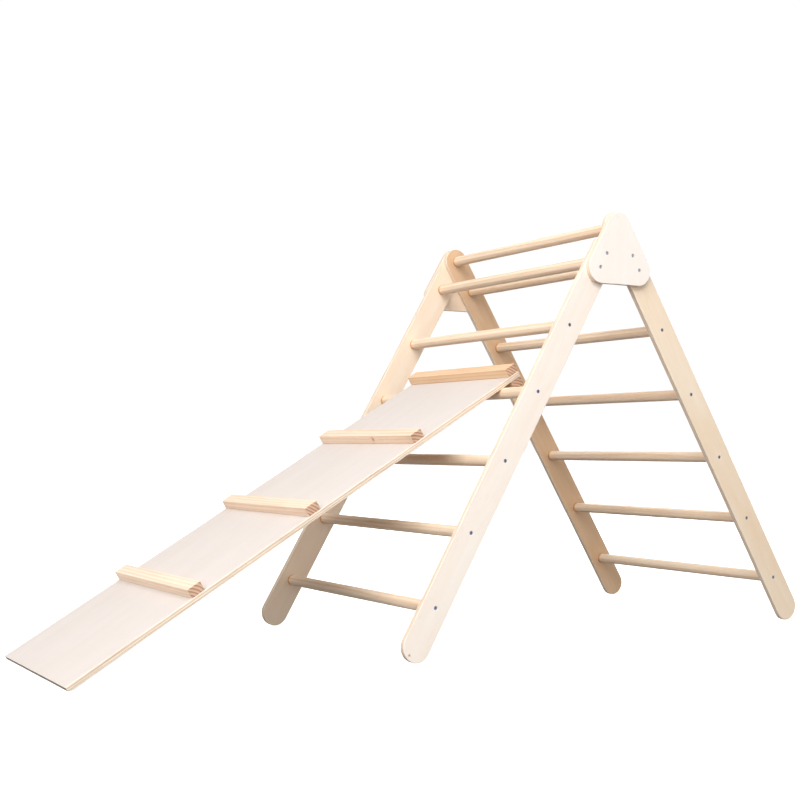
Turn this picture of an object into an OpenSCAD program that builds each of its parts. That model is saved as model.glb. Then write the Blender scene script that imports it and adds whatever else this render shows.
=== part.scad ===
// Wooden climbing triangle with a hook-on climbing ramp.
// X runs from the ramp's foot towards the rear legs, Y along the rungs, Z up from the floor.

/* [Ladders] */
// Distance between neighbouring rungs, along a leg
rung_spacing = 170; // [150:1:190]
// Lean of each leg from upright, in degrees
leg_lean = 31.3; // [29:0.1:34]
// Diameter of a rung
rung_d = 25; // [20:0.5:30]
// Distance from the centre of the round foot to the lowest rung, along a leg
foot_to_rung = 85; // [70:1:110]
// Distance from the sixth rung to the shared top rung, along a leg
rung_to_top = 91; // [85:1:110]
// Width across the outer faces of the leg rails
frame_w = 632; // [500:1:800]

/* [Plywood] */
// Width of a leg rail
rail_w = 65; // [58:1:72]
// Thickness of the rails, plates and ramp board
ply_t = 12; // [10:0.5:18]

/* [Apex plates] */
// Height of a plate below the centre of the top rung
plate_drop = 129; // [110:1:140]
// Radius of a plate's lower corners
plate_corner_r = 35; // [20:1:40]
// Distance of a plate screw from the sixth rung's centre, along the leg
plate_screw_offset = 18.5; // [18:0.5:24]

/* [Ramp] */
// Width of the ramp board
ramp_w = 400; // [300:1:450]
// Ramp length below the rung that carries it
ramp_below = 1112; // [1050:1:1250]
// Ramp length above the rung that carries it
ramp_above = 57; // [50:1:65]
// Height of the ramp's end face left above the floor bevel
ramp_lip = 7.5; // [5:0.5:9]
// Width of a cleat, along the ramp
cleat_w = 30; // [25:1:35]
// Height of a cleat
cleat_h = 20; // [15:1:25]
// Distance between neighbouring cleats
cleat_pitch = 287; // [250:1:300]

/* [Screws] */
// Diameter of a screw head
head_d = 8; // [7:0.5:10]
// Height of a screw head
head_h = 3; // [2.5:0.5:4]
// Depth of a screw head below the wood's face
head_recess = 1; // [0.5:0.5:2]
// Diameter of a screw shank
shank_d = 4.8; // [4:0.2:5.2]
// Length of a rung screw inside the rung
screw_in_rung = 38; // [25:1:50]

/* [Hidden] */
$fn = 64;

birch = "wheat";
pine = "burlywood";
steel = "dimgray";

// Legs and sides, as signs along X and Y; right and left are those of a child going up the ramp
FRONT = -1;
REAR = 1;
RIGHT = -1;
LEFT = 1;

rungs = 6;
cleats = 4;
ramp_rung = 4;
cut = 1;
arc_steps = 24;

// Play round the screws, under the ramp and where the front rails butt against the rear ones
screw_play = 0.1;
ramp_play = 0.3;
butt_play = 1;
// Inset of a cleat's ends from the board's edges
cleat_inset = 1;

// Hexagon socket and point of a screw
socket_d = 4.6;
socket_depth = 1.8;
point_d = 1;
point_h = 2.5;
// How far a plate screw's point stands proud inside a rear rail, and how far it stops short in a front one
plate_screw_proud = 1.5;
plate_screw_short = 3;

// Places along a leg, from the centre of its round foot
rail_r = rail_w / 2;
sixth_at = foot_to_rung + (rungs - 1) * rung_spacing;
top_at = sixth_at + rung_to_top;
sixth_x = rung_to_top * sin(leg_lean);
front_end_at = sixth_at + (sixth_x - rail_r * cos(leg_lean)) / sin(leg_lean) - butt_play;
inner_y = frame_w / 2 - ply_t;

// Ramp section, from the axis of the rung that carries it
carry_at = foot_to_rung + (ramp_rung - 1) * rung_spacing;
carry_z = rail_r + carry_at * cos(leg_lean);
board_low = rung_d / 2 + ramp_play;
board_top = board_low + ply_t;
lip_low = board_top - ramp_lip;
ramp_slope = atan2(lip_low, ramp_below) + asin(carry_z / norm([ramp_below, lip_low]));
bevel_at = -(carry_z + board_low * cos(ramp_slope)) / sin(ramp_slope);
top_cleat_at = ramp_above - cleat_w;

// Distances from the apex, and the apex itself, with the origin under the footprint's middle
carry_from_apex = (carry_at - top_at) * sin(leg_lean);
ramp_tip = carry_from_apex - ramp_below * cos(ramp_slope) - board_top * sin(ramp_slope);
rear_tip = top_at * sin(leg_lean) + rail_r;
apex_x = -(ramp_tip + rear_tip) / 2;
apex_z = rail_r + top_at * cos(leg_lean);

function rung_at(i) = i > rungs ? top_at : foot_to_rung + (i - 1) * rung_spacing;

// Depth of a plate screw's point below a rail's outer face
function point_in_rail(leg) = ply_t + (leg == REAR ? plate_screw_proud : -plate_screw_short);

// Places the children on a leg's axis, at a distance from its foot, with +X up the leg
module on_leg(leg, at) {
    translate([apex_x + leg * (top_at - at) * sin(leg_lean), 0, rail_r + at * cos(leg_lean)])
        rotate([0, -90 - leg * leg_lean, 0])
            children();
}

// Places the children at the rung that carries the ramp, with +X up the ramp
module on_ramp() {
    translate([apex_x + carry_from_apex, 0, carry_z])
        rotate([0, -ramp_slope, 0])
            children();
}

// Places the children at a distance y out to one side, with +Z pointing inwards
module inwards(side, y) {
    translate([0, side * y, 0])
        rotate([side * 90, 0, 0])
            children();
}

// The children at each of a leg's two plate screws
module at_plate_screws(leg) {
    for (s = [-1, 1])
        on_leg(leg, sixth_at + s * plate_screw_offset)
            children();
}

// The bore that a screw's shank passes through, from y inwards
module shank_bore(side, y, depth) {
    inwards(side, y + cut)
        cylinder(d = shank_d + 2 * screw_play, h = depth + 2 * cut);
}

// The counterbore that holds a screw's head, in the face at y
module head_bore(side, y) {
    inwards(side, y + cut)
        cylinder(d = head_d + 2 * screw_play, h = cut + head_recess + head_h);
}

// A socket-head screw whose point lies at a depth below the face at y
module screw(side, y, depth) {
    shank_h = depth - head_recess - point_h;
    inwards(side, y - head_recess)
        difference() {
            union() {
                cylinder(d = head_d, h = head_h);
                cylinder(d = shank_d, h = shank_h);
                translate([0, 0, shank_h])
                    cylinder(d1 = shank_d, d2 = point_d, h = point_h);
            }
            translate([0, 0, -cut])
                cylinder(d = socket_d, h = socket_depth + cut, $fn = 6);
        }
}

// A ply rail with a round foot; the rear one runs on to a round top, the front one is cut square
module rail(leg, side) {
    end_at = leg == REAR ? top_at : front_end_at;
    bores = leg == REAR ? rungs + 1 : rungs;
    outer_y = frame_w / 2;
    color(birch)
        difference() {
            union() {
                on_leg(leg, 0) {
                    inwards(side, outer_y)
                        cylinder(r = rail_r, h = ply_t);
                    translate([0, side == LEFT ? inner_y : -outer_y, -rail_r])
                        cube([end_at, ply_t, rail_w]);
                }
                if (leg == REAR)
                    on_leg(leg, end_at)
                        inwards(side, outer_y)
                            cylinder(r = rail_r, h = ply_t);
            }
            for (i = [1:bores])
                on_leg(leg, rung_at(i)) {
                    head_bore(side, outer_y);
                    shank_bore(side, outer_y, ply_t);
                }
            at_plate_screws(leg)
                shank_bore(side, outer_y, point_in_rail(leg));
        }
}

// Points along an arc, counter-clockwise
function arc(centre, r, from, to) =
    [for (k = [0:arc_steps]) let (a = from + (to - from) * k / arc_steps)
        centre + r * [cos(a), sin(a)]];

// The rounded triangle of an apex plate about the top rung, flush with the rails' outer edges
module plate_outline() {
    corner_y = plate_corner_r - plate_drop;
    corner_x = -corner_y * tan(leg_lean) - (plate_corner_r - rail_r) / cos(leg_lean);
    polygon(concat(
        arc([corner_x, corner_y], plate_corner_r, -90, leg_lean),
        arc([0, 0], rail_r, leg_lean, 180 - leg_lean),
        arc([-corner_x, corner_y], plate_corner_r, 180 - leg_lean, 270)));
}

module apex_plate(side) {
    outer_y = frame_w / 2 + ply_t;
    color(birch)
        difference() {
            translate([apex_x, side == LEFT ? outer_y : -frame_w / 2, apex_z])
                rotate([90, 0, 0])
                    linear_extrude(ply_t)
                        plate_outline();
            for (leg = [FRONT, REAR])
                at_plate_screws(leg) {
                    head_bore(side, outer_y);
                    shank_bore(side, outer_y, ply_t);
                }
        }
}

module rung(leg, i) {
    color(pine)
        on_leg(leg, rung_at(i))
            difference() {
                inwards(LEFT, inner_y)
                    cylinder(d = rung_d, h = 2 * inner_y);
                for (side = [RIGHT, LEFT])
                    shank_bore(side, inner_y, screw_in_rung);
            }
}

module rung_screws(side) {
    color(steel) {
        for (leg = [FRONT, REAR], i = [1:rungs])
            on_leg(leg, rung_at(i))
                screw(side, frame_w / 2, ply_t + screw_in_rung);
        on_leg(REAR, top_at)
            screw(side, frame_w / 2, ply_t + screw_in_rung);
    }
}

module plate_screws(side) {
    color(steel)
        for (leg = [FRONT, REAR])
            at_plate_screws(leg)
                screw(side, frame_w / 2 + ply_t, ply_t + point_in_rail(leg));
}

// The ply board, with its lower end bevelled to lie flat on the floor
module ramp_board() {
    color(birch)
        on_ramp()
            inwards(LEFT, ramp_w / 2)
                linear_extrude(ramp_w)
                    polygon([[-ramp_below, board_top], [-ramp_below, lip_low],
                             [bevel_at, board_low], [ramp_above, board_low],
                             [ramp_above, board_top]]);
}

// A batten across the ramp, by the place of its lower edge and the height of its lower face
module batten(at, height) {
    color(pine)
        on_ramp()
            translate([at, cleat_inset - ramp_w / 2, height])
                cube([cleat_w, ramp_w - 2 * cleat_inset, cleat_h]);
}

// A cleat on the board, counted from the floor
module ramp_cleat(i) {
    batten(top_cleat_at - (cleats - i) * cleat_pitch, board_top);
}

// The batten under the board's upper end that catches behind the rung
module hook_batten() {
    batten(top_cleat_at, board_low - cleat_h);
}

rail(FRONT, RIGHT);  // front_rail_right
rail(FRONT, LEFT);  // front_rail_left
rail(REAR, RIGHT);  // rear_rail_right
rail(REAR, LEFT);  // rear_rail_left
apex_plate(RIGHT);  // apex_plate_right
apex_plate(LEFT);  // apex_plate_left
rung(FRONT, 1);  // front_rung_1
rung(FRONT, 2);  // front_rung_2
rung(FRONT, 3);  // front_rung_3
rung(FRONT, 4);  // front_rung_4
rung(FRONT, 5);  // front_rung_5
rung(FRONT, 6);  // front_rung_6
rung(REAR, 1);  // rear_rung_1
rung(REAR, 2);  // rear_rung_2
rung(REAR, 3);  // rear_rung_3
rung(REAR, 4);  // rear_rung_4
rung(REAR, 5);  // rear_rung_5
rung(REAR, 6);  // rear_rung_6
rung(REAR, 7);  // top_rung
rung_screws(RIGHT);  // rung_screws_right
rung_screws(LEFT);  // rung_screws_left
plate_screws(RIGHT);  // plate_screws_right
plate_screws(LEFT);  // plate_screws_left
ramp_board();
ramp_cleat(1);  // ramp_cleat_1
ramp_cleat(2);  // ramp_cleat_2
ramp_cleat(3);  // ramp_cleat_3
ramp_cleat(4);  // ramp_cleat_4
hook_batten();
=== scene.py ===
import math
import random

import bpy
from mathutils import Matrix, Vector
from mathutils.geometry import tessellate_polygon


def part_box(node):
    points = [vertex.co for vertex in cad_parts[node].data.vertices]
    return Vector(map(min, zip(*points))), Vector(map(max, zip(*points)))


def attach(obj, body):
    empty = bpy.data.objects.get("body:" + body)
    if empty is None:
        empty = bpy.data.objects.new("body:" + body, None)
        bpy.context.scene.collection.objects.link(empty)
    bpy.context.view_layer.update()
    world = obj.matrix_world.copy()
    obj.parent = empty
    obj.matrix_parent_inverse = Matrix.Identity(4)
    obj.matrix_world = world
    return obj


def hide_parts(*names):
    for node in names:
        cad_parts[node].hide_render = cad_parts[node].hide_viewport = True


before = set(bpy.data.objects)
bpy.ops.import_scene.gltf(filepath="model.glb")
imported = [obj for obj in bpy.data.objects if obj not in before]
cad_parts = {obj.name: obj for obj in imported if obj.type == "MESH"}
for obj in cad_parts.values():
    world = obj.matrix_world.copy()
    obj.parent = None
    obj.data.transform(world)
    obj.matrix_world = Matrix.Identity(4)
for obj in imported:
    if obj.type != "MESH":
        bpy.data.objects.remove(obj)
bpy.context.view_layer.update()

# ---------------------------------------------------------------- named values

# Sizes, in metres, of what the frame's boxes don't give
EASE_PLY = 0.0012
EASE_PINE = 0.0016
EASE_DOWEL = 0.0004
EASE_LIP = 0.0004
EASE_STEEL = 0.0005
COUNTERBORE_R = 0.0041
COUNTERBORE_DEPTH = 0.0040
COUNTERBORE_RIM = 0.0003
BORE_R = 0.0025
HEAD_R = 0.0040
HEAD_H = 0.0030
HEAD_RECESS = 0.0010
SHANK_R = 0.0024
POINT_R = 0.0005
POINT_H = 0.0025
SOCKET_R = 0.0023
SOCKET_DEPTH = 0.0018
SOCKET_SIDES = 6
PLATE_SCREW_PROUD = 0.0015
PLATE_SCREW_SHORT = 0.003
BORE_PAST_POINT = 0.001
SCREW_IN_RUNG = 0.038
GLUE_REACH = 0.009
PLIES = 5

# How finely the round shapes are cut
CORNER_STEP = math.radians(7.5)
RUNG_FACETS = 64
SCREW_FACETS = 32
BORE_FACETS = 28

SIDES = {"right": -1, "left": 1}
LEGS = ("front", "rear")
RUNGS = 6
CLEATS = 4

# A piece is cut from a place up to this far into its veneer or its log, in metres
CUT_REACH = 40
# From the heart of a log to the piece cut from it: which way, in radians, and how far, in metres
DOWEL_HEART = ((0, 2 * math.pi), (0.018, 0.07))
BATTEN_HEART = ((0.18 * math.pi, 0.32 * math.pi), (0.07, 0.12))
# The ramp board's place in its veneer, along and across the grain
BOARD_CUT = (11.0, 23.0)

# A pin knot: its place from the middle of a rail's round foot, along X and Z, and its radius
RAIL_KNOT = {"front_rail_right": (-0.019, -0.015, 0.0021)}
# A knot in a batten: its place along, across and up the batten, and its radius
BATTEN_KNOT = {"ramp_cleat_3": (0.24, -0.014, 0.001, 0.0055)}

# Growth rings: how far apart they stand, in metres, and how strongly they show
DOWEL_RINGS = (0.0085, 0.6)
DOWEL_END_RINGS = (0.0042, 1.0)
BATTEN_RINGS = (0.0064, 0.6)
BATTEN_END_RINGS = (0.0064, 1.2)
# The early and the late wood of each batten
BATTEN_TONE = {
    "ramp_cleat_1": ((244, 222, 200), (220, 172, 132)),
    "ramp_cleat_2": ((243, 219, 196), (218, 168, 124)),
    "ramp_cleat_3": ((243, 218, 194), (220, 164, 118)),
    "ramp_cleat_4": ((236, 202, 164), (208, 146, 98)),
    "hook_batten": ((232, 196, 158), (196, 138, 94)),
}

# The stage: a floor that glows a little, a world that is darker and warmer from below, and a white backdrop
FLOOR_HALF = 30.0
FLOOR_DROP = 0.0005
FLOOR_GREY = (0.9, 0.9, 0.9, 1.0)
FLOOR_GLOW = 0.8
WHITE = (1, 1, 1, 1)
BACKDROP_STRENGTH = 1.05
LIGHT_FROM_BELOW = (0.06, 0.036, 0.024, 1)
LIGHT_FROM_ABOVE = (0.62, 0.615, 0.61, 1)
# How high a direction points where one light starts to give way to the other, and where it has
WORLD_FADE = (-0.6, 0.5)
# Each softbox: its place, what it points at, its width and its power in watts
SOFTBOXES = {
    "key": ((-1.0, -2.1, 2.4), (0.1, 0.0, 0.45), 1.2, 42.0),
    "front": ((-0.3, -3.9, 0.8), (0.1, 0.0, 0.4), 2.4, 30.0),
    "fill": ((-3.2, -2.0, 1.1), (0.0, 0.0, 0.4), 1.6, 24.0),
    "left": ((-3.3, -1.2, 2.6), (0.0, 0.0, 0.5), 1.6, 58.0),
    "back": ((2.8, 3.4, 1.8), (0.2, 0.0, 0.45), 2.4, 90.0),
}

# The camera: its place in metres, its angles in radians (heading from +Y towards +X), and its lens in mm
CAMERA_PLACE = (-1.5720, -2.4079, 0.4382)
CAMERA_HEADING = 0.5626
CAMERA_PITCH = 0.03254
CAMERA_ROLL = -0.0062
CAMERA_LENS = 56.601
CAMERA_SENSOR = 36.0

# Points closer than this, in metres, are one point, and sides with a smaller cross product make no face
SAME_POINT = 1e-6
NO_AREA = 1e-14

dice = random.Random(7)


# ---------------------------------------------------------------- places, from the frame

def middle(node):
    """The middle of a node's box."""
    low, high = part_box(node)
    return (low + high) / 2


leg_axis, rung_place = {}, {}
for leg in LEGS:
    rung_place[leg] = [middle(f"{leg}_rung_{i}") for i in range(1, RUNGS + 1)]
    for place in rung_place[leg]:
        place.y = 0
    leg_axis[leg] = (rung_place[leg][-1] - rung_place[leg][0]).normalized()
apex = middle("top_rung")
apex.y = 0
# The rear rails also carry the top rung
rung_place["rear"].append(apex)
lean = math.atan2(leg_axis["front"].x, leg_axis["front"].z)

rung_low, rung_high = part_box("top_rung")
rung_r = (rung_high.z - rung_low.z) / 2
rail_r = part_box("rear_rail_left")[1].z - apex.z
inner_y = rung_high.y
outer_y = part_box("front_rail_left")[1].y
ply = outer_y - inner_y
plate_low, plate_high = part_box("apex_plate_left")
plate_y = plate_high.y
screws_low, screws_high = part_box("plate_screws_left")
# From a leg's sixth rung to its plate screws, along the leg
screw_offset = (screws_high.z - screws_low.z - 2 * HEAD_R) / (2 * math.cos(lean))

cleat_middle = [middle(f"ramp_cleat_{i}") for i in range(1, CLEATS + 1)]
ramp_axis = (cleat_middle[-1] - cleat_middle[0]).normalized()
ramp_up = Vector((-ramp_axis.z, 0, ramp_axis.x))
slope = math.atan2(ramp_axis.z, ramp_axis.x)
cleat_low, cleat_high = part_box("ramp_cleat_1")
cleat_span = cleat_high - cleat_low
# A box of width w and height h, turned by the slope, spans w cos + h sin by w sin + h cos
slope_cos, slope_sin = math.cos(slope), math.sin(slope)
cleat_w = (cleat_span.x * slope_cos - cleat_span.z * slope_sin) / (slope_cos ** 2 - slope_sin ** 2)
cleat_h = (cleat_span.z * slope_cos - cleat_span.x * slope_sin) / (slope_cos ** 2 - slope_sin ** 2)


def foot_of(leg):
    """The centre of a leg's round foot."""
    first, axis = rung_place[leg][0], leg_axis[leg]
    return first + axis * ((rail_r - first.z) / axis.z)


def plate_screw_places(leg):
    """The places of a leg's two plate screws, below and above its sixth rung."""
    sixth = rung_place[leg][RUNGS - 1]
    return [sixth + leg_axis[leg] * way * screw_offset for way in (-1, 1)]


def point_in_rail(leg):
    """How deep a plate screw's point lies below a rail's outer face."""
    return ply + (PLATE_SCREW_PROUD if leg == "rear" else -PLATE_SCREW_SHORT)


# ---------------------------------------------------------------- shapes

def rounded(corners):
    """A closed outline, counter-clockwise, as (point, outward normal) pairs, from (x, y, radius) corners."""
    outline = []
    count = len(corners)
    for i, (x, y, radius) in enumerate(corners):
        here = Vector((x, y))
        before = Vector(corners[i - 1][:2])
        after = Vector(corners[(i + 1) % count][:2])
        coming, going = (here - before).normalized(), (after - here).normalized()
        turn = math.atan2(coming.x * going.y - coming.y * going.x, coming.dot(going))
        start = math.atan2(-coming.x, coming.y)
        inward = Vector((-coming.y, coming.x))
        centre = here - coming * radius * math.tan(turn / 2) + inward * radius
        steps = max(3, math.ceil(turn / CORNER_STEP))
        for k in range(steps + 1):
            angle = start + turn * k / steps
            normal = Vector((math.cos(angle), math.sin(angle)))
            outline.append((centre + normal * radius, normal))
    # Two corners that meet give the same point twice
    return [item for i, item in enumerate(outline) if (item[0] - outline[i - 1][0]).length > SAME_POINT]


def circle(radius, count, centre=(0.0, 0.0)):
    """A circle's outline, as (point, outward normal) pairs."""
    angles = [2 * math.pi * k / count for k in range(count)]
    normals = [Vector((math.cos(angle), math.sin(angle))) for angle in angles]
    return [(Vector(centre) + normal * radius, normal) for normal in normals]


def eased_rim(ease, steps):
    """A quarter-round edge as (inset, height, flat, rise) rows, from the end face to the side."""
    angles = [math.pi / 2 * k / steps for k in range(steps + 1)]
    return [(ease * (1 - math.sin(a)), ease * (1 - math.cos(a)), math.sin(a), -math.cos(a)) for a in angles]


class Form:
    """A mesh in the making, with the normal at every corner of every face."""

    def __init__(self):
        self.points, self.faces, self.normals = [], [], []

    def add(self, points):
        """Adds points, and returns their numbers."""
        first = len(self.points)
        self.points += [Vector(p) for p in points]
        return list(range(first, len(self.points)))

    def face(self, corners, normals):
        self.faces.append(corners)
        self.normals.append([Vector(n) for n in normals])

    def band(self, low, high, low_normals, high_normals):
        """Quads between two closed rings of the same number of points."""
        count = len(low)
        for i in range(count):
            j = (i + 1) % count
            self.face([low[i], low[j], high[j], high[i]],
                      [low_normals[i], low_normals[j], high_normals[j], high_normals[i]])

    def cap(self, rings, normal):
        """A flat face bounded by the first ring, with the other rings as holes in it."""
        loops = [[self.points[i] for i in ring] for ring in rings]
        index = [i for ring in rings for i in ring]
        for triangle in tessellate_polygon(loops):
            corners = [index[k] for k in triangle]
            a, b, c = (self.points[k] for k in corners)
            cross = (b - a).cross(c - a)
            if cross.length < NO_AREA:
                continue
            if cross.dot(Vector(normal)) < 0:
                corners.reverse()
            self.face(corners, [normal] * 3)

    def prism(self, outline, depth, ease, holes=(), stations=(), steps=4):
        """The outline carried along +Z, with eased rims and extra rings at the stations' heights.

        A hole is (centre, [(radius, z), ...]), with its rows from the top down.
        """
        up, down = Vector((0, 0, 1)), Vector((0, 0, -1))
        rim = eased_rim(ease, steps)
        levels = rim + [(0.0, z, 1.0, 0.0) for z in stations]
        levels += [(inset, depth - z, flat, -rise) for inset, z, flat, rise in reversed(rim)]
        rings, shading = [], []
        for inset, z, flat, rise in levels:
            rings.append(self.add([(p - n * inset).to_3d() + up * z for p, n in outline]))
            shading.append([n.to_3d() * flat + up * rise for p, n in outline])
        for i in range(len(levels) - 1):
            self.band(rings[i], rings[i + 1], shading[i], shading[i + 1])
        tops, bottoms = [rings[-1]], [rings[0]]
        inwards = [-n.to_3d() for p, n in circle(1.0, BORE_FACETS)]
        for centre, profile in holes:
            loops = []
            for radius, z in profile:
                ring = circle(radius, BORE_FACETS, centre)
                loops.append(self.add([p.to_3d() + up * z for p, n in ring]))
            for (r0, z0), (r1, z1), upper, lower in zip(profile, profile[1:], loops, loops[1:]):
                fall = Vector((z0 - z1, r0 - r1)).normalized()
                normals = [n * fall.x + up * fall.y for n in inwards]
                self.band(upper, lower, normals, normals)
            tops.append(loops[0])
            if profile[-1][1] > 0:
                self.cap([loops[-1]], up)
            else:
                bottoms.append(loops[-1])
        self.cap(tops, up)
        self.cap(bottoms, down)

    def lathe(self, profile):
        """A turned form about Z, open at both ends, from (radius, z, flat, rise) rows. Returns its rings."""
        rings, shading = [], []
        for radius, z, flat, rise in profile:
            ring = circle(radius, SCREW_FACETS)
            rings.append(self.add([p.to_3d() + Vector((0, 0, z)) for p, n in ring]))
            shading.append([n.to_3d() * flat + Vector((0, 0, rise)) for p, n in ring])
        for i in range(len(rings) - 1):
            self.band(rings[i], rings[i + 1], shading[i], shading[i + 1])
        return rings

    def place(self, other, matrix):
        """Adds another form's faces, moved by a matrix."""
        turn = matrix.to_3x3()
        first = self.add([matrix @ p for p in other.points])[0]
        for corners, normals in zip(other.faces, other.normals):
            self.face([first + k for k in corners], [turn @ n for n in normals])

    def make(self, name, matrix, finishes, finish_of, grain=None, stain=None):
        """The Blender object.

        finish_of gives a face's material number from its mean normal, grain a point's place in the wood,
        and stain how far the glue at a joint has coloured it.
        """
        turn = matrix.to_3x3()
        mesh = bpy.data.meshes.new(name)
        mesh.from_pydata([tuple(matrix @ p) for p in self.points], [], self.faces)
        for finish in finishes:
            mesh.materials.append(finish)
        for polygon, normals in zip(mesh.polygons, self.normals):
            polygon.use_smooth = True
            polygon.material_index = finish_of(sum(normals, Vector()).normalized())
        if grain:
            places = mesh.attributes.new("wood", "FLOAT_VECTOR", "POINT")
            for item, p in zip(places.data, self.points):
                item.vector = grain(p)
        if stain:
            marks = mesh.attributes.new("stain", "FLOAT", "POINT")
            for item, p in zip(marks.data, self.points):
                item.value = stain(p)
        mesh.normals_split_custom_set([(turn @ n).normalized() for normals in self.normals for n in normals])
        piece = bpy.data.objects.new(name, mesh)
        bpy.context.scene.collection.objects.link(piece)
        return piece


def placed(origin, x_axis, z_axis):
    """The matrix of a piece that stands at origin, with those local X and Z axes."""
    x, z = Vector(x_axis).normalized(), Vector(z_axis).normalized()
    y = z.cross(x)
    turn = Matrix((x, y, z)).transposed().to_4x4()
    return Matrix.Translation(origin) @ turn


# ---------------------------------------------------------------- materials

class Nodes:
    """The nodes of a material or of the world."""

    def __init__(self, owner):
        owner.use_nodes = True
        self.owner = owner
        self.nodes = owner.node_tree.nodes
        self.links = owner.node_tree.links

    def set(self, socket, value):
        """Links a socket to another one, or gives it a constant."""
        if isinstance(value, bpy.types.NodeSocket):
            self.links.new(value, socket)
        else:
            socket.default_value = value

    def node(self, kind, inputs=(), **settings):
        node = self.nodes.new(kind)
        for key, value in settings.items():
            setattr(node, key, value)
        for key, value in dict(inputs).items():
            self.set(node.inputs[key], value)
        return node

    def attribute(self, name, output):
        return self.node("ShaderNodeAttribute", attribute_name=name).outputs[output]

    def parts(self, vector):
        return self.node("ShaderNodeSeparateXYZ", {0: vector}).outputs

    def scaled(self, vector, scale):
        return self.node("ShaderNodeVectorMath", {0: vector, 1: scale}, operation="MULTIPLY").outputs[0]

    def moved(self, vector, step):
        return self.node("ShaderNodeVectorMath", {0: vector, 1: step}, operation="ADD").outputs[0]

    def distance(self, vector, other):
        node = self.node("ShaderNodeVectorMath", {0: vector, 1: other}, operation="DISTANCE")
        return node.outputs["Value"]

    def math(self, operation, a, b=0.0, clamp=False):
        return self.node("ShaderNodeMath", {0: a, 1: b}, operation=operation, use_clamp=clamp).outputs[0]

    def times(self, a, b):
        return self.math("MULTIPLY", a, b)

    def minus(self, a, b):
        return self.math("SUBTRACT", a, b)

    def plus(self, first, *others, clamp=False):
        """The sum of two values or more. With clamp, the whole is kept from 0 to 1."""
        total = first
        for i, other in enumerate(others, start=1):
            total = self.math("ADD", total, other, clamp=clamp and i == len(others))
        return total

    def swing(self, value, amount):
        """A value that runs from 0 to 1, made to run half the amount either way from 0."""
        return self.times(self.minus(value, 0.5), amount)

    def noise(self, place, scale=None, detail=2.0, roughness=0.5, distortion=0.0):
        """Noise from 0 to 1, about 0.5, one cycle to a unit of the scaled place."""
        vector = self.scaled(place, scale) if scale else place
        inputs = {"Vector": vector, "Scale": 1.0, "Detail": detail, "Roughness": roughness,
                  "Distortion": distortion}
        return self.node("ShaderNodeTexNoise", inputs).outputs["Fac"]

    def span(self, value, low, high, to_low=0.0, to_high=1.0, kind="SMOOTHSTEP"):
        """A value from low to high, mapped to the range from to_low to to_high."""
        inputs = {"Value": value, "From Min": low, "From Max": high, "To Min": to_low, "To Max": to_high}
        return self.node("ShaderNodeMapRange", inputs, interpolation_type=kind).outputs["Result"]

    def mix(self, share, a, b):
        """Colour a, with a share of colour b."""
        node = self.node("ShaderNodeMix", data_type="RGBA")
        self.set(node.inputs["Factor"], share)
        first, second = (s for s in node.inputs if s.type == "RGBA")
        self.set(first, a)
        self.set(second, b)
        return next(s for s in node.outputs if s.type == "RGBA")

    def finish(self, colour, roughness, height=None, depth=0.0, specular=0.4, metallic=0.0):
        """Sets the material's shader, with bumps of a depth in metres, and returns the material."""
        shader = self.nodes["Principled BSDF"]
        self.set(shader.inputs["Base Color"], colour)
        self.set(shader.inputs["Roughness"], roughness)
        shader.inputs["Specular IOR Level"].default_value = specular
        shader.inputs["Metallic"].default_value = metallic
        if height is not None:
            bump = self.node("ShaderNodeBump", {"Height": height, "Distance": depth, "Strength": 1.0})
            self.links.new(bump.outputs["Normal"], shader.inputs["Normal"])
        return self.owner


def shade(red, green, blue):
    """A linear colour from the usual 0 to 255 numbers."""
    parts = [v / 255 for v in (red, green, blue)]
    return tuple(v / 12.92 if v <= 0.04045 else ((v + 0.055) / 1.055) ** 2.4 for v in parts) + (1.0,)


FLECK = shade(196, 150, 106)
FLECK_SHARE = 0.12
VENEER_KNOT = shade(120, 86, 58)
RESIN_DASH = shade(150, 98, 58)
PINE_KNOT = shade(146, 86, 50)
GLUE = shade(198, 146, 84)
FRONT_TONES = (shade(253, 245, 236), shade(246, 230, 214))
FRONT_FIGURE = 0.7
WOOD_BUMP = 0.00006
EDGE_BUMP = 0.00012
STEEL_BUMP = 0.00002


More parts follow.
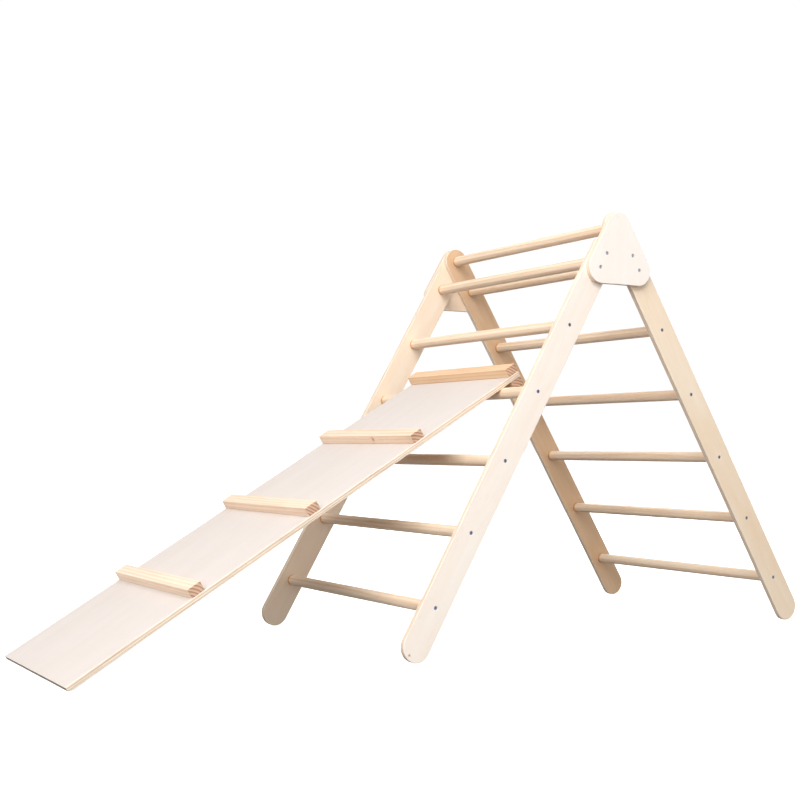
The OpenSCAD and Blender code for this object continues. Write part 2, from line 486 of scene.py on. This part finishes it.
def birch_face(name, light, dark, figure, knot=None):
    """A birch veneer: soft figure along the grain, fine fibres and short brown flecks."""
    look = Nodes(bpy.data.materials.new(name))
    wood = look.attribute("wood", "Vector")
    drift = look.noise(wood, (3.0, 14.0, 0.0))
    swirl = look.noise(wood, (5.0, 34.0, 0.0), detail=3.0, distortion=0.5)
    cloud = look.noise(wood, (9.0, 9.0, 0.0))
    fibre = look.noise(wood, (22.0, 900.0, 0.0), detail=3.0, roughness=0.65)
    pore = look.noise(wood, (120.0, 1500.0, 0.0), detail=1.0)
    dash = look.noise(wood, (70.0, 760.0, 0.0), detail=0.0)
    # Rotary-cut figure: lines that run with the grain and bend round soft islands
    across = look.plus(look.times(look.parts(wood)[1], 9.0), look.times(swirl, 1.3))
    lines = look.math("SINE", look.times(across, 2 * math.pi * 2.2))
    tone = look.plus(look.swing(drift, 1.1 * figure), look.times(lines, 0.10 * figure),
                     look.swing(swirl, 0.7 * figure), look.swing(fibre, 0.55),
                     look.swing(cloud, 0.5 * figure), 0.42, clamp=True)
    colour = look.mix(tone, light, dark)
    dashes = look.times(look.span(dash, 0.66, 0.76), look.span(cloud, 0.42, 0.6))
    colour = look.mix(look.times(dashes, FLECK_SHARE), colour, FLECK)
    if knot:
        centre, radius = knot
        gap = look.plus(look.distance(wood, centre), look.swing(pore, radius))
        colour = look.mix(look.span(gap, radius * 2.4, radius * 0.9, 0.0, 0.35), colour, FLECK)
        colour = look.mix(look.span(gap, radius, radius * 0.5, 0.0, 0.85), colour, VENEER_KNOT)
    roughness = look.span(fibre, 0.2, 0.8, 0.5, 0.62, "LINEAR")
    return look.finish(colour, roughness, look.plus(fibre, look.times(pore, 0.5)), WOOD_BUMP)


def birch_edge(name, light, dark, glue):
    """The plywood's edge: light long-grain plies, darker end-grain plies between them and thin glue lines."""
    look = Nodes(bpy.data.materials.new(name))
    wood = look.attribute("wood", "Vector")
    ripple = look.noise(wood, (40.0, 40.0, 0.0))
    fibre = look.noise(wood, (60.0, 60.0, 2600.0), detail=3.0, roughness=0.7)
    tubes = look.noise(wood, (1500.0, 1500.0, 1300.0))
    stretch = look.noise(wood, (14.0, 14.0, 260.0))
    depth = look.plus(look.parts(wood)[2], look.swing(ripple, 0.0003))
    layer = look.times(depth, PLIES / ply)
    # 0 in the middle of a long-grain ply and 1 in the middle of an end-grain one
    beat = look.math("PINGPONG", look.minus(layer, 0.5), 1.0)
    core = look.span(beat, 0.52, 0.66)
    seam = look.math("ABSOLUTE", look.minus(beat, 0.59))
    glue_line = look.span(seam, 0.08, 0.02)
    open_tubes = look.times(look.times(core, look.minus(tubes, 0.4)), 0.9)
    darker = look.plus(look.swing(fibre, 0.5), look.swing(stretch, 0.9), open_tubes, 0.06, clamp=True)
    colour = look.mix(darker, look.mix(core, light, dark), glue)
    colour = look.mix(look.times(glue_line, 0.5), colour, glue)
    height = look.minus(look.times(fibre, 0.5), look.times(glue_line, 0.4))
    return look.finish(colour, 0.66, height, EDGE_BUMP, specular=0.3)


def pine(name, early, late, rings, end=False, glued=None, knot=None):
    """Solid pine. Growth rings run round the log's heart, so each face and end shows its own cut of them."""
    spacing, streak = rings
    look = Nodes(bpy.data.materials.new(name))
    wood = look.attribute("wood", "Vector")
    warp = look.noise(wood, (2.4, 22.0, 22.0))
    sway = look.noise(look.moved(look.scaled(wood, (1.3, 6.0, 6.0)), (7.1, 3.3, 5.7)), detail=1.0)
    fibre = look.noise(wood, (9.0, 700.0, 700.0), roughness=0.6)
    cloud = look.noise(wood, (4.0, 30.0, 30.0))
    tubes = look.noise(wood, (500.0, 1300.0, 1300.0))
    across, up = look.parts(wood)[1:3]
    heart = look.math("SQRT", look.plus(look.times(across, across), look.times(up, up)))
    bend = look.plus(look.times(warp, 0.9), look.times(sway, 2.0))
    years = look.plus(look.math("DIVIDE", heart, spacing), bend)
    if knot:
        centre, size = knot
        gap = look.distance(wood, centre)
        years = look.plus(years, look.span(gap, size * 4.0, 0.0, 0.0, 2.5))
    phase = look.math("FRACT", years)
    year = look.node("ShaderNodeCombineXYZ", {0: look.math("FLOOR", years)}).outputs[0]
    strength = look.span(look.noise(year, detail=0.0), 0.35, 0.65, 0.3, 1.0, "LINEAR")
    # The late wood darkens slowly through the year and stops short at its end
    latewood = look.times(look.span(phase, 0.25, 0.86), look.span(phase, 0.90, 1.0, 1.0, 0.0))
    latewood = look.times(latewood, strength)
    texture = tubes if end else fibre
    tone = look.plus(look.times(latewood, streak), look.swing(texture, 0.45), look.swing(cloud, 0.8),
                     clamp=True)
    colour = look.mix(tone, early, late)
    if not end:
        dash = look.noise(wood, (45.0, 900.0, 900.0), detail=0.0)
        colour = look.mix(look.times(look.span(dash, 0.68, 0.78), FLECK_SHARE), colour, RESIN_DASH)
    if glued:
        stain = look.span(look.attribute("stain", "Fac"), 0.0, 0.6)
        mark = look.times(stain, look.span(cloud, 0.2, 0.7, 0.6, 1.0, "LINEAR"))
        colour = look.mix(mark, colour, glued)
    if knot:
        uneven = look.plus(gap, look.swing(fibre, size * 0.8))
        colour = look.mix(look.span(uneven, size * 1.5, size * 0.8, 0.0, 0.6), colour, late)
        colour = look.mix(look.span(uneven, size * 0.8, size * 0.3, 0.0, 0.7), colour, PINE_KNOT)
    roughness = look.span(tone, 0.0, 1.0, 0.62, 0.5, "LINEAR")
    return look.finish(colour, roughness, look.plus(look.times(latewood, 0.5), texture), WOOD_BUMP)


def steel(name, dull, bright):
    """Plated steel, brushed and worn brighter here and there."""
    look = Nodes(bpy.data.materials.new(name))
    place = look.node("ShaderNodeTexCoord").outputs["Object"]
    wear = look.noise(place, (900.0, 900.0, 900.0), detail=3.0)
    spots = look.noise(place, (3500.0, 3500.0, 3500.0))
    colour = look.mix(look.span(wear, 0.35, 0.75), dull, bright)
    roughness = look.span(spots, 0.2, 0.8, 0.30, 0.48, "LINEAR")
    return look.finish(colour, roughness, spots, STEEL_BUMP, specular=0.5, metallic=0.9)


def glowing(name, colour, glow):
    """A plain matt surface that also gives off white light."""
    look = Nodes(bpy.data.materials.new(name))
    shader = look.nodes["Principled BSDF"]
    shader.inputs["Emission Color"].default_value = WHITE
    shader.inputs["Emission Strength"].default_value = glow
    return look.finish(colour, 0.9, specular=0.0)


plate_veneer = birch_face("birch_plate", shade(254, 249, 243), shade(249, 237, 226), 0.5)
front_veneer = birch_face("birch_front_outer", *FRONT_TONES, FRONT_FIGURE)
front_back = birch_face("birch_front_inner", shade(251, 235, 215), shade(243, 216, 186), 0.8)
rear_veneer = birch_face("birch_rear_outer", shade(251, 234, 212), shade(243, 217, 184), 0.9)
# The rear rails' inner faces are a darker, browner copy of their outer veneer: painted shade for the inside
# of the frame
rear_back_painted_shade = birch_face("birch_rear_inner_painted_shade", shade(230, 197, 162), shade(212, 173, 133), 0.9)
board_veneer = birch_face("birch_board", shade(223, 215, 210), shade(214, 202, 193), 0.5)
# The toe's end face is painted dark grey: painted shade for a face that looks down at the floor
toe_painted_shade = birch_edge("birch_toe_painted_shade", shade(124, 112, 102), shade(100, 90, 82), shade(70, 62, 56))
ply_edge = birch_edge("birch_ply_edge", shade(249, 236, 220), shade(236, 211, 182), shade(168, 126, 92))
dowel = pine("pine_dowel", shade(248, 226, 200), shade(212, 160, 112), DOWEL_RINGS, glued=GLUE)
dowel_end = pine("pine_dowel_end", shade(226, 190, 150), shade(176, 122, 80), DOWEL_END_RINGS, end=True)
batten_end = pine("pine_batten_end", shade(218, 180, 152), shade(140, 92, 66), BATTEN_END_RINGS, end=True)
rung_steel = steel("steel_rung_screws", shade(84, 90, 122), shade(150, 158, 186))
# The plate screws' steel is a lighter copy of the rung screws' steel: painted reflection of the light they
# catch
plate_steel_painted_reflection = steel("steel_plate_screws_painted_reflection", shade(150, 153, 170), shade(214, 217, 230))

# The outer face, the edge and the inner face of each ladder's rails
RAIL_FINISHES = {"front": [front_veneer, ply_edge, front_back], "rear": [rear_veneer, ply_edge, rear_back_painted_shade]}


# ---------------------------------------------------------------- pieces

def sheet_finish(thickness_axis):
    """The front veneer, the edge or the back veneer of a ply sheet, by how a face lies to its plies."""
    def finish(normal):
        if abs(normal[thickness_axis]) < 0.9:
            return 1
        return 0 if normal[thickness_axis] > 0 else 2
    return finish


def end_finish(normal):
    """The long faces of a length of pine, or its end grain."""
    return 1 if abs(normal.z) > 0.7 else 0


def board_finish(normal):
    """A ply sheet's finishes for the ramp board, and a fourth, dark grey one for the square end at its foot,
    with painted shade where that end faces the floor.
    """
    return 3 if normal.x < -0.98 else sheet_finish(1)(normal)


def wood_place(order, offset):
    """A point's place in the wood, from its local one: along the grain, then the two ways across it."""
    return lambda p: Vector((p[order[0]], p[order[1]], p[order[2]])) + offset


def veneer_cut():
    """Where a ply sheet was cut from its veneer."""
    return Vector((dice.uniform(0, CUT_REACH), dice.uniform(0, CUT_REACH), 0))


def log_cut(ways, reaches):
    """Where a length of pine was cut from its log."""
    way = dice.uniform(*ways)
    reach = dice.uniform(*reaches)
    return Vector((dice.uniform(0, CUT_REACH), reach * math.cos(way), reach * math.sin(way)))


def finished(piece, node, body):
    """Rides a piece on its body, and hides the node that it replaces."""
    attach(piece, body)
    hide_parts(node)


def plain_bore(place, depth):
    """A screw hole at a place on a ply sheet. It goes right through when it is deeper than the sheet."""
    return (place, [(BORE_R, ply), (BORE_R, max(0.0, ply - depth))])


def sunk_bore(place):
    """A screw hole through a ply sheet, with a counterbore for the head."""
    floor = ply - COUNTERBORE_DEPTH
    return (place, [(COUNTERBORE_R + COUNTERBORE_RIM, ply), (COUNTERBORE_R, ply - COUNTERBORE_RIM),
                    (COUNTERBORE_R, floor), (BORE_R, floor), (BORE_R, 0.0)])


def rail(leg, side_name):
    """A leg rail. A rear rail has two round ends, and a front one a round foot and a square upper end."""
    node = f"{leg}_rail_{side_name}"
    side = SIDES[side_name]
    foot, axis = foot_of(leg), leg_axis[leg]
    rungs_at = [(place - foot).length for place in rung_place[leg]]
    if leg == "rear":
        end, end_r = rungs_at[-1] + rail_r, rail_r
    else:
        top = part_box(node)[1].z
        end, end_r = (top - foot.z - rail_r * math.sin(lean)) / math.cos(lean), EASE_PLY
    outline = rounded([(-rail_r, -rail_r, rail_r), (end, -rail_r, end_r),
                       (end, rail_r, end_r), (-rail_r, rail_r, rail_r)])
    holes = [sunk_bore((at, 0.0)) for at in rungs_at]
    sixth_at = rungs_at[RUNGS - 1]
    reach = point_in_rail(leg) + BORE_PAST_POINT
    holes += [plain_bore((sixth_at + way * screw_offset, 0.0), reach) for way in (-1, 1)]
    form = Form()
    form.prism(outline, ply, EASE_PLY, holes)
    matrix = placed(foot + Vector((0, side * inner_y, 0)), axis, (0, side, 0))
    offset = veneer_cut()
    outer, edge, inner = RAIL_FINISHES[leg]
    if node in RAIL_KNOT:
        x, z, size = RAIL_KNOT[node]
        spot = Vector((x, 0, z))
        across = Vector((0, side, 0)).cross(axis)
        centre = Vector((spot.dot(axis), spot.dot(across), ply)) + offset
        outer = birch_face(f"birch_{node}", *FRONT_TONES, FRONT_FIGURE, (centre, size))
    piece = form.make(f"{node}_ply", matrix, [outer, edge, inner], sheet_finish(2),
                      wood_place((0, 1, 2), offset))
    finished(piece, node, "frame")


def apex_plate(side_name):
    """The rounded triangle that ties a front and a rear rail together."""
    node = f"apex_plate_{side_name}"
    side = SIDES[side_name]
    drop = apex.z - plate_low.z
    half = (plate_high.x - plate_low.x) / 2
    lean_sin, lean_cos = math.sin(lean), math.cos(lean)
    lean_tan = lean_sin / lean_cos
    corner_r = (drop * lean_tan + rail_r / lean_cos - half) / (lean_tan + 1 / lean_cos - 1)
    base = (rail_r + drop * lean_sin) / lean_cos
    outline = rounded([(-base, -drop, corner_r), (base, -drop, corner_r), (0.0, rail_r / lean_sin, rail_r)])
    spots = [place - apex for leg in LEGS for place in plate_screw_places(leg)]
    holes = [sunk_bore((-side * spot.x, spot.z)) for spot in spots]
    form = Form()
    form.prism(outline, plate_y - outer_y, EASE_PLY, holes)
    matrix = placed(apex + Vector((0, side * outer_y, 0)), (-side, 0, 0), (0, side, 0))
    piece = form.make(f"{node}_ply", matrix, [plate_veneer, ply_edge, front_back], sheet_finish(2),
                      wood_place((1, 0, 2), veneer_cut()))
    finished(piece, node, "frame")


def rung(node, place):
    """A dowel between the rails, stained by the glue at its two ends."""
    length = 2 * inner_y
    stain_ends = (GLUE_REACH, length - GLUE_REACH)
    form = Form()
    form.prism(circle(rung_r, RUNG_FACETS), length, EASE_DOWEL, stations=stain_ends, steps=2)
    matrix = placed(place - Vector((0, inner_y, 0)), (1, 0, 0), (0, 1, 0))
    piece = form.make(f"{node}_dowel", matrix, [dowel, dowel_end], end_finish,
                      wood_place((2, 0, 1), log_cut(*DOWEL_HEART)),
                      lambda p: 1.0 if min(p.z, length - p.z) < GLUE_REACH / 2 else 0.0)
    finished(piece, node, "frame")


def screw_form(length):
    """A socket-head screw that points along +Z, with the top of its head at 0."""
    form = Form()
    shank_end = length - POINT_H
    head = [(HEAD_R - inset, z, flat, rise) for inset, z, flat, rise in eased_rim(EASE_STEEL, 3)]
    head_rings = form.lathe(head + [(HEAD_R, HEAD_H, 1, 0)])
    form.lathe([(HEAD_R, HEAD_H, 0, 1), (SHANK_R, HEAD_H, 0, 1)])
    form.lathe([(SHANK_R, HEAD_H, 1, 0), (SHANK_R, shank_end, 1, 0)])
    taper = Vector((POINT_H, SHANK_R - POINT_R)).normalized()
    tip_rings = form.lathe([(SHANK_R, shank_end, taper.x, taper.y), (POINT_R, length, taper.x, taper.y)])
    form.cap([tip_rings[-1]], Vector((0, 0, 1)))
    socket = [p.to_3d() for p, n in circle(SOCKET_R, SOCKET_SIDES)]
    mouth = form.add(socket)
    floor = form.add([p + Vector((0, 0, SOCKET_DEPTH)) for p in socket])
    form.cap([head_rings[0], mouth], Vector((0, 0, -1)))
    for k in range(SOCKET_SIDES):
        j = (k + 1) % SOCKET_SIDES
        inward = -(socket[k] + socket[j]).normalized()
        form.face([mouth[k], floor[k], floor[j], mouth[j]], [inward] * 4)
    form.cap([floor], Vector((0, 0, -1)))
    return form


def screws(node, side, face_y, places, finish):
    """Screws sunk in the face at face_y, from (place, how deep the point lies below that face) pairs."""
    form = Form()
    for place, depth in places:
        head = place + Vector((0, side * (face_y - HEAD_RECESS), 0))
        turn = Matrix.Rotation(dice.uniform(0, 2 * math.pi / SOCKET_SIDES), 4, "Z")
        form.place(screw_form(depth - HEAD_RECESS), placed(head, (1, 0, 0), (0, -side, 0)) @ turn)
    piece = form.make(f"{node}_steel", Matrix.Identity(4), [finish], lambda normal: 0)
    finished(piece, node, "frame")


def batten(node, centre):
    """A square length of pine across the ramp board."""
    length = cleat_span.y
    half_w, half_h = cleat_w / 2, cleat_h / 2
    corners = [(-half_w, -half_h), (half_w, -half_h), (half_w, half_h), (-half_w, half_h)]
    form = Form()
    form.prism(rounded([(x, y, EASE_PINE) for x, y in corners]), length, EASE_PINE)
    matrix = placed(centre + Vector((0, length / 2, 0)), ramp_axis, (0, -1, 0))
    offset = log_cut(*BATTEN_HEART)
    knot = None
    if node in BATTEN_KNOT:
        along, across, up, size = BATTEN_KNOT[node]
        knot = (Vector((along, across, up)) + offset, size)
    early, late = (shade(*tone) for tone in BATTEN_TONE[node])
    side = pine(f"pine_{node}", early, late, BATTEN_RINGS, knot=knot)
    piece = form.make(f"{node}_pine", matrix, [side, batten_end], end_finish, wood_place((2, 0, 1), offset))
    finished(piece, node, "ramp")


def ramp_board():
    """The ramp's board, bevelled at its foot to lie flat on the floor."""
    low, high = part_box("ramp_board")
    top_face = (cleat_middle[0] - ramp_up * cleat_h / 2).dot(ramp_up)
    bottom_face = top_face - ply
    # The board's top edge is at its box's highest corner, and its foot's lip at the lowest x
    end_at = (high.z - top_face * ramp_up.z) / ramp_axis.z
    foot_at = (low.x - top_face * ramp_up.x) / ramp_axis.x
    # Where the bottom face and the foot's end meet the floor
    bevel_at = -bottom_face * ramp_up.z / ramp_axis.z
    lip_low = -foot_at * ramp_axis.z / ramp_up.z
    outline = rounded([(foot_at, lip_low, EASE_LIP), (bevel_at, bottom_face, EASE_LIP),
                       (end_at, bottom_face, EASE_PLY), (end_at, top_face, EASE_PLY),
                       (foot_at, top_face, EASE_PLY)])
    form = Form()
    form.prism(outline, high.y - low.y, EASE_PLY)
    matrix = placed(Vector((0, high.y, 0)), ramp_axis, (0, -1, 0))
    piece = form.make("ramp_board_ply", matrix, [board_veneer, ply_edge, front_back, toe_painted_shade], board_finish,
                      wood_place((0, 2, 1), Vector((*BOARD_CUT, -bottom_face))))
    finished(piece, "ramp_board", "ramp")


for leg in LEGS:
    for side_name in SIDES:
        rail(leg, side_name)
for side_name in SIDES:
    apex_plate(side_name)
for leg in LEGS:
    for i in range(RUNGS):
        rung(f"{leg}_rung_{i + 1}", rung_place[leg][i])
rung("top_rung", apex)
rung_spots = [(place, ply + SCREW_IN_RUNG) for leg in LEGS for place in rung_place[leg]]
plate_spots = [(place, ply + point_in_rail(leg)) for leg in LEGS for place in plate_screw_places(leg)]
for side_name, side in SIDES.items():
    screws(f"rung_screws_{side_name}", side, outer_y, rung_spots, rung_steel)
    screws(f"plate_screws_{side_name}", side, plate_y, plate_spots, plate_steel_painted_reflection)
for i, centre in enumerate(cleat_middle):
    batten(f"ramp_cleat_{i + 1}", centre)
batten("hook_batten", middle("hook_batten"))
ramp_board()


# ---------------------------------------------------------------- stage, light and camera

def add_floor():
    corners = [(x * FLOOR_HALF, y * FLOOR_HALF, 0) for x, y in ((-1, -1), (1, -1), (1, 1), (-1, 1))]
    mesh = bpy.data.meshes.new("floor")
    mesh.from_pydata(corners, [], [(0, 1, 2, 3)])
    mesh.materials.append(glowing("floor_white", FLOOR_GREY, FLOOR_GLOW))
    floor = bpy.data.objects.new("floor", mesh)
    floor.location.z = -FLOOR_DROP
    floor.visible_diffuse = False
    bpy.context.scene.collection.objects.link(floor)


def add_world():
    """The world lights the part softly, and shows as plain white behind it."""
    world = bpy.data.worlds.new("studio")
    bpy.context.scene.world = world
    studio = Nodes(world)
    direction = studio.parts(studio.node("ShaderNodeTexCoord").outputs["Generated"])
    tint = studio.mix(studio.span(direction[2], *WORLD_FADE), LIGHT_FROM_BELOW, LIGHT_FROM_ABOVE)
    light = studio.nodes["Background"]
    studio.set(light.inputs["Color"], tint)
    backdrop = studio.node("ShaderNodeBackground", {"Color": WHITE, "Strength": BACKDROP_STRENGTH})
    seen = studio.node("ShaderNodeLightPath").outputs["Is Camera Ray"]
    either = studio.node("ShaderNodeMixShader", {0: seen, 1: light.outputs[0], 2: backdrop.outputs[0]})
    studio.links.new(either.outputs[0], studio.nodes["World Output"].inputs["Surface"])


def add_softbox(name, place, target, size, power):
    lamp = bpy.data.lights.new(name, "AREA")
    lamp.shape = "SQUARE"
    lamp.size = size
    lamp.energy = power
    lamp_object = bpy.data.objects.new(name, lamp)
    bpy.context.scene.collection.objects.link(lamp_object)
    lamp_object.location = place
    lamp_object.rotation_mode = "QUATERNION"
    lamp_object.rotation_quaternion = (Vector(target) - Vector(place)).to_track_quat("-Z", "Y")


def add_camera():
    camera = bpy.data.cameras.new("camera")
    camera.sensor_width = CAMERA_SENSOR
    camera.lens = CAMERA_LENS
    eye = bpy.data.objects.new("camera", camera)
    bpy.context.scene.collection.objects.link(eye)
    level = Vector((math.sin(CAMERA_HEADING), math.cos(CAMERA_HEADING), 0))
    forward = level * math.cos(CAMERA_PITCH) + Vector((0, 0, math.sin(CAMERA_PITCH)))
    right = Vector((level.y, -level.x, 0))
    up = right.cross(forward)
    rolled_right = right * math.cos(CAMERA_ROLL) + up * math.sin(CAMERA_ROLL)
    rolled_up = up * math.cos(CAMERA_ROLL) - right * math.sin(CAMERA_ROLL)
    turn = Matrix((rolled_right, rolled_up, -forward)).transposed().to_4x4()
    eye.matrix_world = Matrix.Translation(CAMERA_PLACE) @ turn
    bpy.context.scene.camera = eye


add_floor()
add_world()
for name, (place, target, size, power) in SOFTBOXES.items():
    add_softbox(name, place, target, size, power)
add_camera()
bpy.context.scene.view_settings.view_transform = "Standard"
